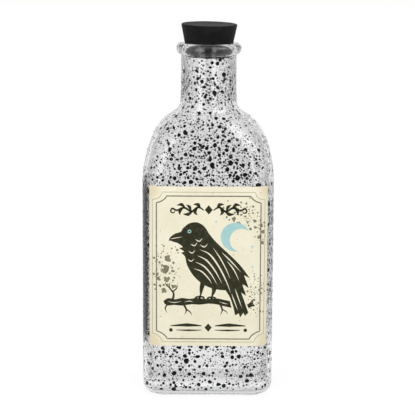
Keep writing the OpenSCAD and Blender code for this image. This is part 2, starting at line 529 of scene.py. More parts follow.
    def spray(self, point: Vector) -> float:
        """How thickly the fine mist of paint lies at a place outside.

        Args:
            point: The place, in metres.

        Returns:
            1 for the usual mist, less low down, more on the neck, and up to 2 beside the label.
            The extra mist beside the label is painted shade: it darkens the strips where the label's shaded
            back shows through the front corners, more on the left.
        """
        x, y, z = point / MM
        if z > self.shoulder_top:
            return 1.0 + self.neck_spray + 0.3 * abs(x / self.neck_r) ** 3
        middle, half_h, soft = 104.0, 66.0, 28.0
        level = min(1.0, max(0.0, (half_h - abs(z - middle)) / soft + 0.5))
        front = min(1.0, max(0.0, (-6.0 - y) / 15))
        side = min(1.0, max(0.0, (abs(x) - 44.0) / 3))
        low = min(1.0, max(0.0, (55 - z) / 20))
        # The last term is painted shade: denser mist beside the label, where its shaded back shows through
        # the corners.
        return 1.0 - 0.35 * low + level * front * side * (1.0 if x < 0 else 0.4)

    def close_end(self, piece: bpy.types.Object, height: float) -> None:
        """Closes the selected open ring with a fan to a middle point at a height."""
        bpy.ops.mesh.extrude_edges_move()
        mesh = bmesh.from_edit_mesh(piece.data)
        for vert in (v for v in mesh.verts if v.select):
            vert.co.z = height * MM
        bpy.ops.mesh.merge(type="CENTER")


@dataclass(frozen=True)
class DropKind:
    """One size class of paint drop: its count, outline, radii in millimetres and share low down."""

    name: str
    count: int
    sides: int
    least_r: float
    spread: float
    most_r: float
    low_share: float
    domed: bool = True


@dataclass
class PaintSpatter:
    """Black paint flicked on the outside of the glass, drop by drop."""

    bottle: GlassBottle
    seed: int = 7
    clear_foot: float = 6.5
    sunk: float = 0.02
    thin_spots: tuple[tuple[float, float, float, float], ...] = (
        (-45.0, 188.0, 36.0, 1.0), (30.0, 205.0, 18.0, 0.9),
        (22.0, 188.0, 14.0, 0.5), (46.0, 176.0, 24.0, 0.85))
    spacing: float = 1.1
    merging: float = 0.07
    neck_level: float = 0.47
    front_share: float = 1.3
    back_share: float = 0.4
    side_share: float = 0.28
    grid_mm: float = 4.5
    kinds: tuple[DropKind, ...] = (
        DropKind("big_paint_drops", 1950, 16, 1.15, 0.4, 2.2, 0.6),
        DropKind("large_paint_drops", 7800, 12, 0.7, 0.25, 1.25, 0.37),
        DropKind("small_paint_drops", 17500, 8, 0.42, 0.17, 0.75, 0.44),
        DropKind("paint_specks", 14000, 7, 0.2, 0.1, 0.4, 0.55, domed=False),
    )

    def __post_init__(self) -> None:
        """Collects the facets below the lip and makes the tree that finds the nearest glass."""
        bottle = self.bottle
        levels = [section for section in bottle.outside_sections() if section.height <= bottle.lip_bottom]
        rings = [[section.at(angle) for angle in bottle.directions()] for section in levels]
        n = len(rings[0])
        self.corners = [[low[k], low[(k + 1) % n], high[(k + 1) % n], high[k]]
                        for low, high in zip(rings, rings[1:]) for k in range(n)]
        crosses = [(c[2] - c[0]).cross(c[3] - c[1]) for c in self.corners]
        self.normals = [cross.normalized() for cross in crosses]
        self.areas = [cross.length / 2 for cross in crosses]
        self.tree = BVHTree.FromPolygons(
            [point for corners in self.corners for point in corners],
            [tuple(range(4 * k, 4 * k + 4)) for k in range(len(self.corners))])
        self.random = Random(self.seed)
        self.taken: dict[tuple[int, int, int], list[tuple[Vector, float]]] = {}

    def has_room(self, point: Vector, radius: float) -> bool:
        """Whether a drop stays clear of the ones before it, and if so, takes its place.

        Args:
            point: The drop's middle, in metres.
            radius: Its radius in millimetres.

        Returns:
            True if it is clear, or if it is one of the few that run into a neighbour.
        """
        x, y, z = (math.floor(v / MM / self.grid_mm) for v in point)
        around = [(x + i, y + j, z + k) for i in (-1, 0, 1) for j in (-1, 0, 1) for k in (-1, 0, 1)]
        crowded = any((point - other).length < (radius + r) * self.spacing * MM
                      for cell in around for other, r in self.taken.get(cell, ()))
        if crowded and self.random.random() > self.merging:
            return False
        self.taken.setdefault((x, y, z), []).append((point, radius))
        return True

    def density(self, kind: DropKind, point: Vector, normal: Vector) -> float:
        """How likely a drop is to stay at a place.

        Args:
            kind: Its size class.
            point: A place on the glass, in metres.
            normal: The glass's outward direction there.

        Returns:
            From 0 up. The spray came from the front and less from the back, and gathers in clouds.
        """
        z = point.z / MM
        bottle = self.bottle
        if z < self.clear_foot:
            return 0.0
        if z > bottle.shoulder_top:
            up = (z - bottle.shoulder_top) / (bottle.lip_bottom - bottle.shoulder_top)
            level = self.neck_level * (1.35 - 0.7 * up)
        elif z > bottle.wall_h:
            level = 1.0 - 0.78 * max(0.0, (z - 187) / (bottle.shoulder_top - 187))
        else:
            level = kind.low_share + (1 - kind.low_share) * min(1.0, max(0.0, (z - 48) / 45))
        cloud = 0.85 + 0.35 * noise.noise(point / (16 * MM))
        for x, height, reach, share in self.thin_spots:
            gap = math.hypot(x - point.x / MM, height - z)
            level *= 1 - share * max(0.0, 1 - gap / reach)
        facing = self.front_share if normal.y < 0 else self.back_share
        return level * cloud * (self.side_share + (facing - self.side_share) * abs(normal.y))

    def places(self, kind: DropKind) -> Iterator[tuple[Vector, Vector]]:
        """Draws places on the glass, spread by area and thinned by density.

        Args:
            kind: The size class, which says how many places to try.

        Yields:
            A place and the direction out of the glass there.
        """
        for pick in self.random.choices(range(len(self.areas)), weights=self.areas, k=kind.count):
            corners = self.corners[pick]
            a, b = self.random.random(), self.random.random()
            along, across = corners[1] - corners[0], corners[-1] - corners[0]
            if a + b > 1:
                a, b = 1 - a, 1 - b
            point = corners[0] + along * a + across * b
            if self.random.random() < self.density(kind, point, self.normals[pick]):
                yield point, self.normals[pick]

    def drop_points(self, kind: DropKind, radius: float) -> list[tuple[float, float, float]]:
        """One drop's points: a wavy rim, a step up if it is domed, a top and an underside.

        Args:
            kind: The drop's size class.
            radius: Its mean radius in millimetres.

        Returns:
            Across, along and height of each point, in millimetres.
        """
        draw = self.random
        stretch = 1 + max(0.0, draw.gauss(0, 0.1))
        full = 2 * math.pi
        waves = [(n, draw.uniform(0, a), draw.uniform(0, full)) for n, a in ((2, 0.1), (3, 0.09), (5, 0.05))]
        turn = draw.uniform(0, full)
        height = min(0.13, 0.05 + 0.06 * radius)
        rim = []
        for k in range(kind.sides):
            a = full * k / kind.sides
            r = radius * (1 + sum(s * math.cos(n * a + p) for n, s, p in waves))
            x, y = r * math.cos(a) * stretch, r * math.sin(a) / stretch
            rim.append((x * math.cos(turn) - y * math.sin(turn), x * math.sin(turn) + y * math.cos(turn)))
        points = [(x, y, -self.sunk) for x, y in rim]
        if kind.domed:
            points += [(x * 0.78, y * 0.78, height * 0.7) for x, y in rim]
        return points + [(0.0, 0.0, height), (0.0, 0.0, -self.sunk)]

    def drop_faces(self, kind: DropKind, start: int) -> list[tuple[int, ...]]:
        """The faces of one drop whose points begin at a number."""
        n = kind.sides
        inner = n if kind.domed else 0
        top = start + inner + n
        faces: list[tuple[int, ...]] = []
        for k in range(n):
            after = (k + 1) % n
            if kind.domed:
                faces.append((start + k, start + after, start + n + after, start + n + k))
            faces.append((start + inner + k, start + inner + after, top))
            faces.append((start + after, start + k, top + 1))
        return faces

    def build(self, kind: DropKind, material: bpy.types.Material) -> bpy.types.Object:
        """Models all the drops of one size class.

        Args:
            kind: The size class.
            material: The paint.

        Returns:
            The finished piece.
        """
        points: list[Vector] = []
        faces: list[tuple[int, ...]] = []
        for place, normal in self.places(kind):
            radius = min(kind.least_r + abs(self.random.gauss(0, kind.spread)), kind.most_r)
            if not self.has_room(place, radius):
                continue
            side = normal.orthogonal().normalized()
            up = normal.cross(side)
            faces += self.drop_faces(kind, len(points))
            for x, y, h in self.drop_points(kind, radius):
                near, out, _, _ = self.tree.find_nearest(place + (side * x + up * y) * MM)
                points.append(near + out * h * MM)
        data = bpy.data.meshes.new(kind.name)
        data.from_pydata(points, [], faces)
        piece = bpy.data.objects.new(kind.name, data)
        bpy.context.scene.collection.objects.link(piece)
        data.shade_smooth()
        return finish_piece(piece, kind.name, Body.BOTTLE, Slot.GLASS, material)

    def build_all(self) -> None:
        """Models every size class of drop."""
        material = BlackPaint().build()
        for kind in self.kinds:
            self.build(kind, material)


@dataclass
class RubberStopper:
    """A solid tapered stopper, pushed a little crooked into the lip."""

    taper_r: tuple[float, float] = (16.5, 21.6)
    edge: float = 1.1
    sides: int = 128
    lean: float = math.radians(0.9)
    settle: float = 0.35
    rim_w: float = 1.6
    dish: float = 0.25

    def build(self) -> bpy.types.Object:
        """Models the stopper from a cone with eased edges and a faintly dished top.

        Returns:
            The finished piece.
        """
        low, high = (corner.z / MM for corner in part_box("rubber_stopper"))
        height = high - low
        start_clean()
        bpy.ops.mesh.primitive_cone_add(
            vertices=self.sides, radius1=self.taper_r[0] * MM, radius2=self.taper_r[1] * MM,
            depth=height * MM, location=(0, 0, (low + high) / 2 * MM))
        piece = bpy.context.object
        bpy.ops.object.transform_apply(location=True, rotation=False, scale=False)
        bpy.ops.object.mode_set(mode="EDIT")
        bpy.ops.mesh.select_mode(type="EDGE")
        bpy.ops.mesh.select_all(action="DESELECT")
        mesh = bmesh.from_edit_mesh(piece.data)
        for edge in mesh.edges:
            edge.select = abs(edge.verts[0].co.z - edge.verts[1].co.z) < 1e-6
        mesh.select_flush_mode()
        bpy.ops.mesh.bevel(offset=self.edge * MM, segments=6, affect="EDGES")
        bpy.ops.mesh.select_mode(type="FACE")
        bpy.ops.mesh.select_all(action="DESELECT")
        mesh = bmesh.from_edit_mesh(piece.data)
        for face in mesh.faces:
            face.select = face.normal.z > 0.99 and len(face.verts) > 4
        bpy.ops.mesh.inset(thickness=self.rim_w * MM)
        bpy.ops.mesh.inset(thickness=1.2 * MM, depth=-self.dish * MM)
        bpy.ops.object.mode_set(mode="OBJECT")
        bpy.ops.object.shade_smooth_by_angle(angle=math.radians(50))
        seat = Vector((0, 0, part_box("glass_bottle")[1].z))
        tilt = Matrix.Translation(seat - Vector((0, 0, self.settle * MM)))
        tilt = tilt @ Matrix.Rotation(self.lean, 4, "Y") @ Matrix.Translation(-seat)
        piece.data.transform(tilt)
        finish_piece(piece, "black_rubber_stopper", Body.STOPPER, Slot.RUBBER, BlackRubber().build())
        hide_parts("rubber_stopper")
        return piece


@dataclass(frozen=True)
class AgedPaper:
    """Uncoated label paper: cream, yellower in its corners, with faint fibres and foxing."""

    cream: str = "F0E9CF"
    pale: str = "F8F2DB"
    warm: str = "EEDDB8"
    foxing: str = "C9BC92"
    roughness: float = 0.85
    cloud_mm: float = 26.0
    fibre_mm: float = 0.9
    fox_mm: float = 5.0

    def build(self, width: float, height: float) -> bpy.types.Material:
        """Builds the material on the paper's own map.

        Args:
            width: The paper's width in millimetres.
            height: The paper's height in millimetres.

        Returns:
            The material.
        """
        material, tree = new_material("aged_label_paper")
        flat = add_node(tree, "UVMap", {"uv_map": "UVMap"})
        middle = add_node(tree, "VectorMath", {"operation": "SUBTRACT"}, {
            0: flat.outputs[0], 1: (0.5, 0.5, 0.0)}).outputs[0]
        place = add_node(tree, "VectorMath", {"operation": "MULTIPLY"}, {
            0: middle, 1: (width, height, 1.0)}).outputs[0]
        cloud = add_node(tree, "TexNoise", {}, {
            "Vector": place, "Scale": 1 / self.cloud_mm, "Detail": 5.0, "Roughness": 0.6})
        tone = add_node(tree, "MapRange", {}, {
            "Value": cloud.outputs[0], "From Min": 0.35, "From Max": 0.65})
        colour = add_node(tree, "Mix", {"data_type": "RGBA"}, {
            "Factor": tone.outputs[0], 6: linear(self.cream), 7: linear(self.pale)})
        folded = add_node(tree, "VectorMath", {"operation": "ABSOLUTE"}, {0: place}).outputs[0]
        gap = add_node(tree, "VectorMath", {"operation": "DISTANCE"}, {
            0: folded, 1: (width / 2, height / 2, 0.0)}).outputs["Value"]
        ragged = add_node(tree, "MapRange", {}, {
            "Value": cloud.outputs[0], "To Min": -8.0, "To Max": 8.0})
        gap = add_node(tree, "Math", {"operation": "ADD"}, {0: gap, 1: ragged.outputs[0]}).outputs[0]
        corner = add_node(tree, "MapRange", {"interpolation_type": "SMOOTHSTEP"}, {
            "Value": gap, "From Min": 4.0, "From Max": 13.0, "To Min": 0.7, "To Max": 0.0})
        colour = add_node(tree, "Mix", {"data_type": "RGBA"}, {
            "Factor": corner.outputs[0], 6: colour.outputs[2], 7: linear(self.warm)})
        spots = add_node(tree, "TexVoronoi", {}, {"Vector": place, "Scale": 1 / self.fox_mm})
        spot_size = add_node(tree, "MapRange", {}, {
            "Value": spots.outputs["Color"], "From Min": 0.45, "To Max": 0.16})
        edge = add_node(tree, "Math", {"operation": "SUBTRACT"}, {
            0: spot_size.outputs[0], 1: spots.outputs["Distance"]})
        fox = add_node(tree, "MapRange", {}, {
            "Value": edge.outputs[0], "From Max": 0.05, "To Max": 0.55})
        colour = add_node(tree, "Mix", {"data_type": "RGBA"}, {
            "Factor": fox.outputs[0], 6: colour.outputs[2], 7: linear(self.foxing)})
        fibre = add_node(tree, "TexNoise", {}, {
            "Vector": place, "Scale": 1 / self.fibre_mm, "Detail": 5.0, "Distortion": 0.8})
        grain = add_node(tree, "MapRange", {}, {
            "Value": fibre.outputs[0], "From Min": 0.3, "From Max": 0.7, "To Min": 0.955,
            "To Max": 1.02})
        grainy = add_node(tree, "VectorMath", {"operation": "SCALE"}, {
            0: colour.outputs[2], "Scale": grain.outputs[0]})
        bump = add_node(tree, "Bump", {}, {
            "Height": fibre.outputs[0], "Strength": 0.35, "Distance": 0.06 * MM})
        paper = add_node(tree, "BsdfPrincipled", {}, {
            "Base Color": grainy.outputs[0], "Roughness": self.roughness, "Normal": bump.outputs[0],
            "Specular IOR Level": 0.25})
        add_node(tree, "OutputMaterial", {}, {"Surface": paper.outputs[0]})
        return material


@dataclass(frozen=True)
class PrintingInk:
    """Flat letterpress ink on paper: matte, a little thin and broken where the paper is rough."""

    name: str
    colour: str
    worn: str
    wear: float = 0.25
    wear_mm: float = 2.5
    roughness: float = 0.8

    def build(self) -> bpy.types.Material:
        """Builds the material."""
        material, tree = new_material(self.name)
        place = add_node(tree, "TexCoord").outputs["Object"]
        patch = add_node(tree, "TexNoise", {}, {
            "Vector": place, "Scale": 1 / (self.wear_mm * MM), "Detail": 6.0, "Roughness": 0.65})
        thin = add_node(tree, "MapRange", {}, {
            "Value": patch.outputs[0], "From Min": 0.45, "From Max": 0.7, "To Max": self.wear})
        colour = add_node(tree, "Mix", {"data_type": "RGBA"}, {
            "Factor": thin.outputs[0], 6: linear(self.colour), 7: linear(self.worn)})
        ink = add_node(tree, "BsdfPrincipled", {}, {
            "Base Color": colour.outputs[2], "Roughness": self.roughness, "Specular IOR Level": 0.2})
        add_node(tree, "OutputMaterial", {}, {"Surface": ink.outputs[0]})
        return material


@dataclass
class PaperLabel:
    """The paper label, glued on the front face and round the two front corners, a hair off centre."""

    bottle: GlassBottle
    width: float = 92.0
    aside: float = 0.5
    thickness: float = 0.3
    face_lift: float = 0.22
    across: int = 120
    up: int = 8

    def __post_init__(self) -> None:
        """Takes the label's height and place from the CAD box."""
        low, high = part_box("paper_label")
        self.low, self.height = low.z / MM, (high.z - low.z) / MM

    def wrap(self, u: float, v: float, lift: float) -> Vector:
        """Lays a point of the flat paper round the bottle.

        Args:
            u: Distance along the paper from its middle, to the right, in millimetres.
            v: Height above the paper's lower edge, in millimetres.
            lift: Distance out from the CAD glass, in millimetres.

        Returns:
            The point in metres.
        """
        bottle = self.bottle
        u += self.aside
        flat = bottle.half_w - bottle.corner_r
        turn = max(0.0, abs(u) - flat) / bottle.corner_r
        r = bottle.corner_r + lift
        x = min(abs(u), flat) + r * math.sin(turn)
        y = bottle.corner_r - bottle.half_d - r * math.cos(turn)
        return Vector((math.copysign(x, u), y, self.low + v)) * MM

    def build(self) -> bpy.types.Object:
        """Models the paper as a grid that is wrapped on the glass and given a thickness.

        Returns:
            The finished piece.
        """
        start_clean()
        bpy.ops.mesh.primitive_grid_add(x_subdivisions=self.across, y_subdivisions=self.up, size=1)
        piece = bpy.context.object
        for vert in piece.data.vertices:
            u, v = vert.co.x * self.width, (vert.co.y + 0.5) * self.height
            vert.co = self.wrap(u, v, self.face_lift)
        thick = piece.modifiers.new("thickness", "SOLIDIFY")
        thick.thickness = self.thickness * MM
        thick.offset = -1
        bpy.ops.object.modifier_apply(modifier=thick.name)
        bpy.ops.object.shade_smooth_by_angle(angle=math.radians(40))
        finish_piece(piece, "aged_paper_label", Body.BOTTLE, Slot.PAPER,
                     AgedPaper().build(self.width, self.height))
        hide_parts("paper_label")
        return piece


Knot = tuple[float, ...]
Point = tuple[float, float]


def curve_through(knots: list[Knot], closed: bool, steps: int = 8) -> list[Point]:
    """Draws a smooth line through knots, as with a bent spline.

    Args:
        knots: The knots in millimetres. One with a third number is a sharp corner.
        closed: Whether the line comes back to its start.
        steps: How many points each stretch gets.

    Returns:
        The points of the line.
    """
    count = len(knots)
    line: list[Point] = []
    for i in range(count if closed else count - 1):
        around = [i + k for k in (-1, 0, 1, 2)]
        picked = [k % count if closed else min(max(k, 0), count - 1) for k in around]
        before, start, end, after = (knots[k] for k in picked)
        if len(start) > 2 and len(end) > 2:
            line.append((start[0], start[1]))
            continue
        for s in range(steps):
            t = s / steps
            spot = []
            for k in (0, 1):
                leave = end[k] - start[k] if len(start) > 2 else (end[k] - before[k]) / 2
                arrive = end[k] - start[k] if len(end) > 2 else (after[k] - start[k]) / 2
                spot.append((2 * t ** 3 - 3 * t ** 2 + 1) * start[k] + (t ** 3 - 2 * t ** 2 + t) * leave
                            + (3 * t ** 2 - 2 * t ** 3) * end[k] + (t ** 3 - t ** 2) * arrive)
            line.append((spot[0], spot[1]))
    if not closed:
        line.append((knots[-1][0], knots[-1][1]))
    return line


@dataclass
class Sheet:
    """Flat printed shapes, collected before they are pressed on the label together."""

    points: list[Point] = field(default_factory=list)
    faces: list[tuple[int, ...]] = field(default_factory=list)

    def patch(self, outline: list[Point]) -> None:
        """Adds a filled shape whose outline runs anticlockwise."""
        start = len(self.points)
        self.points += outline
        self.faces.append(tuple(range(start, len(self.points))))

    def blot(self, x: float, y: float, outline: list[Point]) -> None:
        """Adds a filled shape in rings about its middle, so that it follows a curved corner."""
        start, n = len(self.points), len(outline)
        self.points += outline
        self.points += [((x + a) / 2, (y + b) / 2) for a, b in outline]
        self.points.append((x, y))
        for k in range(n):
            after = (k + 1) % n
            self.faces.append((start + k, start + after, start + n + after, start + n + k))
            self.faces.append((start + n + k, start + n + after, start + 2 * n))

    def disc(self, x: float, y: float, r: float, sides: int = 20) -> None:
        """Adds a round dot."""
        turns = [2 * math.pi * k / sides for k in range(sides)]
        self.patch([(x + r * math.cos(a), y + r * math.sin(a)) for a in turns])

    def ribbon(self, line: list[Point], widths: list[float], closed: bool = False) -> None:
        """Adds a line of ink whose width follows a list along its length.

        Args:
            line: The middle of the line.
            widths: Widths at even places along it, in millimetres.
            closed: Whether it comes back to its start.
        """
        start, count = len(self.points), len(line)
        for i, (x, y) in enumerate(line):
            back = line[i - 1] if closed or i else line[0]
            ahead = line[(i + 1) % count] if closed or i < count - 1 else line[-1]
            run = math.hypot(ahead[0] - back[0], ahead[1] - back[1])
            nx, ny = (back[1] - ahead[1]) / run, (ahead[0] - back[0]) / run
            t = i / (count - 1) * (len(widths) - 1)
            k = min(int(t), len(widths) - 2)
            half = (widths[k] + (widths[k + 1] - widths[k]) * (t - k)) / 2
            self.points += [(x + nx * half, y + ny * half), (x - nx * half, y - ny * half)]
        for i in range(count if closed else count - 1):
            a, b = start + 2 * i, start + 2 * ((i + 1) % count)
            self.faces.append((a, a + 1, b + 1, b))

    def stroke(self, knots: list[Knot], widths: list[float], mirrored: bool = False) -> None:
        """Adds a tapered brush stroke along a smooth line, and its mirror image if asked for."""
        line = curve_through(knots, closed=False)
        self.ribbon(line, [max(w, 0.04) for w in widths])
        if mirrored:
            self.ribbon([(-x, y) for x, y in line], [max(w, 0.04) for w in widths])

    def pierced(self, outline: list[Point], holes: list[list[Point]]) -> None:
        """Adds a filled shape with holes in it.

        Args:
            outline: Its edge.
            holes: The edges of its holes, or of patches inside a hole.
        """
        mesh = bmesh.new()
        for loop in [outline, *holes]:
            verts = [mesh.verts.new((x, y, 0)) for x, y in loop]
            for one, other in zip(verts, verts[1:] + verts[:1]):
                mesh.edges.new((one, other))
        bmesh.ops.triangle_fill(mesh, use_beauty=True, edges=mesh.edges[:], normal=(0, 0, 1))
        mesh.verts.index_update()
        start = len(self.points)
        self.points += [(v.co.x, v.co.y) for v in mesh.verts]
        for face in mesh.faces:
            order = [v.index + start for v in face.verts]
            self.faces.append(tuple(order if face.normal.z > 0 else order[::-1]))
        mesh.free()


@dataclass
class LabelPrint:
    """What is printed on the label: a double frame, a raven on a branch, ornament and ink splashes.

    All places are in millimetres on the flat paper, from the middle of its lower edge. The picture is
    drawn higher than it is printed, and picture_rise brings it down between scroll and rule.
    """

    label: PaperLabel
    seed: int = 21
    ink_thickness: float = 0.01
    picture_rise: float = -12.0
    frame_middle: tuple[float, float, float] = (43.2, 3.2, 120.6)
    dark: PrintingInk = PrintingInk("black_letterpress_ink", "292A1A", "6A6850")
    olive: PrintingInk = PrintingInk("olive_letterpress_ink", "5C5945", "A29D80", wear=0.6)
    tan: PrintingInk = PrintingInk("tan_letterpress_ink", "BCB592", "D8D1B4", wear=0.7)
    splash: PrintingInk = PrintingInk("grey_splashed_ink", "7A755E", "A7A186", wear=0.8, wear_mm=4.0)
    blue: PrintingInk = PrintingInk("pale_blue_letterpress_ink", "A6D0D0", "C9DEDA", wear=0.5)

    def press(self, sheet: Sheet, name: str, ink: PrintingInk, lift: float,
              rise: float = 0.0) -> bpy.types.Object:
        """Wraps flat shapes round the label and gives them the ink's thickness.

        Args:
            sheet: The shapes.
            name: The piece's name.
            ink: Its ink.
            lift: Distance of the ink's back from the CAD glass, in millimetres.
            rise: How far up the paper the shapes are shifted, in millimetres.

        Returns:
            The finished piece.
        """
        data = bpy.data.meshes.new(name)
        data.from_pydata([self.label.wrap(u, v + rise, lift) for u, v in sheet.points], [], sheet.faces)
        piece = bpy.data.objects.new(name, data)
        bpy.context.scene.collection.objects.link(piece)
        start_clean()
        piece.select_set(True)
        bpy.context.view_layer.objects.active = piece
        thick = piece.modifiers.new("thickness", "SOLIDIFY")
        thick.thickness = self.ink_thickness * MM
        thick.offset = 1
        bpy.ops.object.modifier_apply(modifier=thick.name)
        return finish_piece(piece, name, Body.BOTTLE, Slot.PAPER, ink.build())

    def frame_line(self, half_u: float, low: float, high: float, arc_u: float, arc_v: float) -> list[Point]:
        """One line of the frame, with its corners rounded inwards about the outer line's corners.

        Args:
            half_u: Half the frame's width.
            low: Height of its lower line.
            high: Height of its upper line.
            arc_u: Half axis of the corner's arc across the paper.
            arc_v: Half axis of the corner's arc up the paper.

        Returns:
            The line's points, at most 1.5 mm apart.
        """
        centre_u, centre_low, centre_high = self.frame_middle
        first = math.acos(min(1.0, (centre_u - half_u) / arc_u))
        corners: list[list[Point]] = []
        for side, level in ((1, 1), (-1, 1), (-1, -1), (1, -1)):
            centre_v, edge = (centre_high, high) if level > 0 else (centre_low, low)
            last = math.asin(min(1.0, abs(centre_v - edge) / arc_v))
            arc = [(side * (centre_u - arc_u * math.cos(a)), centre_v - level * arc_v * math.sin(a))
                   for a in (first + (last - first) * t for t in fractions(10))]
            corners.append(arc if side * level > 0 else arc[::-1])
        line: list[Point] = []
        for arc, after in zip(corners, corners[1:] + corners[:1]):
            (x0, y0), (x1, y1) = arc[-1], after[0]
            count = math.ceil(math.hypot(x1 - x0, y1 - y0) / 1.5)
            line += arc + [(x0 + (x1 - x0) * t, y0 + (y1 - y0) * t) for t in fractions(count, 1)[:-1]]
        return line

    def frame(self) -> None:
        """Prints the frame's two lines."""
        outer, inner = Sheet(), Sheet()
        outer.ribbon(self.frame_line(43.2, 3.2, 120.6, 7.8, 6.0), [0.55, 0.55], closed=True)
        inner.ribbon(self.frame_line(39.8, 5.6, 117.6, 12.1, 8.75), [0.85, 0.85], closed=True)
        self.press(outer, "outer_frame_line", self.tan, 0.225)
        self.press(inner, "inner_frame_line", self.olive, 0.225)

    def raven(self) -> None:
        """Prints the raven, with its feathers left open, and the branch it sits on."""
        body: list[Knot] = [
            (-30.6, 94.2, 1), (-29.2, 97.6), (-25.6, 100.4), (-21.2, 102.0), (-19.2, 105.0),
            (-14.4, 108.6), (-8.4, 109.2), (-3.2, 106.0), (0.4, 100.6), (5.4, 94.4), (11.6, 88.4),
            (18.4, 82.0), (25.2, 74.8), (31.8, 65.8, 1), (27.2, 68.2, 1), (31.0, 58.0, 1), (25.8, 61.6, 1),
            (29.0, 51.8, 1), (25.2, 54.6, 1), (30.8, 38.6, 1), (28.2, 36.0, 1), (27.0, 38.6, 1),
            (24.6, 34.8, 1), (23.4, 38.0, 1), (20.6, 36.4, 1), (19.2, 43.0), (16.6, 50.6), (13.2, 56.2, 1),
            (8.2, 56.6), (2.0, 58.0), (-4.8, 61.4), (-11.4, 67.6), (-16.2, 75.6), (-18.0, 82.6),
            (-21.0, 85.6, 1), (-18.8, 86.6), (-22.6, 89.2, 1), (-19.8, 90.2), (-23.6, 93.2, 1),
            (-26.6, 94.0), (-29.0, 95.0, 1), (-29.8, 95.0)]
        feathers: list[tuple[list[Knot], float]] = [
            ([(-29.2, 96.2), (-24.6, 97.2), (-19.8, 97.9)], 0.55),
            ([(-6.8, 88.0), (0.6, 84.6), (7.6, 75.4), (13.6, 63.6), (17.2, 54.0)], 1.3),
            ([(-8.6, 83.4), (-1.6, 79.8), (5.0, 71.6), (10.4, 61.6)], 1.2),
            ([(-10.2, 78.4), (-3.6, 75.2), (2.4, 68.4), (6.6, 60.8)], 1.1),
            ([(-11.0, 73.2), (-5.0, 70.8), (0.2, 65.4), (2.6, 61.4)], 1.0),
            ([(3.4, 89.6), (8.6, 82.0), (13.4, 73.0), (16.8, 65.0)], 0.9),
            ([(10.2, 86.0), (17.2, 79.0), (24.6, 70.8)], 1.0),
            ([(14.2, 79.2), (19.4, 72.4), (23.6, 63.6)], 0.9),
            ([(20.4, 57.6), (23.0, 50.2), (25.8, 42.4)], 0.8),
            ([(17.8, 53.6), (20.4, 46.6), (22.6, 40.6)], 0.8),
            ([(-13.8, 92.4), (-10.6, 91.2), (-8.6, 93.8)], 0.8),
            ([(-10.2, 96.2), (-7.0, 94.6), (-4.8, 97.2)], 0.8),
            ([(-6.6, 92.0), (-3.2, 90.2), (-0.6, 92.8)], 0.8),
            ([(-15.2, 86.8), (-12.4, 85.4), (-10.2, 87.8)], 0.8),
            ([(-15.6, 80.6), (-13.2, 79.0), (-10.8, 81.0)], 0.8)]
        holes = []
        for knots, width in feathers:
            slit = Sheet()
            slit.stroke(knots, [0.0, width, width * 0.8, 0.0])
            holes.append(slit.points[0::2] + slit.points[1::2][::-1])
        for r in (1.45, 0.75):
            eye = Sheet()
            eye.disc(-14.6, 102.2, r, 14)
            holes.append(eye.points)
        bird = Sheet()
        bird.pierced(curve_through(body, closed=True), holes)
        self.press(bird, "raven_print", self.dark, 0.235, self.picture_rise)
        legs: list[tuple[list[Knot], list[float]]] = [
            ([(-3.8, 63.0), (-5.2, 57.6), (-5.8, 53.0), (-7.0, 49.4)], [4.6, 3.0, 1.3, 1.3]),
            ([(4.6, 60.0), (4.2, 55.6), (3.0, 52.0), (2.2, 49.0)], [4.6, 3.0, 1.3, 1.3]),
            ([(-6.4, 51.2), (-9.2, 50.6), (-10.8, 48.0), (-10.6, 45.8)], [1.2, 1.5, 1.1, 0.0]),
            ([(-6.2, 51.0), (-7.0, 48.6), (-7.2, 45.4)], [1.2, 1.5, 0.0]),
            ([(-6.0, 51.2), (-3.6, 50.4), (-2.6, 47.4)], [1.2, 1.4, 0.0]),
            ([(2.6, 50.8), (0.0, 50.2), (-1.2, 47.8), (-0.8, 45.6)], [1.2, 1.5, 1.1, 0.0]),
            ([(2.8, 50.6), (2.4, 48.2), (2.4, 45.0)], [1.2, 1.5, 0.0]),
            ([(3.0, 50.8), (5.4, 50.0), (6.4, 47.2)], [1.2, 1.4, 0.0])]
        feet = Sheet()
        for knots, widths in legs:
            feet.stroke(knots, widths)
        self.press(feet, "raven_legs_print", self.dark, 0.232, self.picture_rise)
        self.branch()

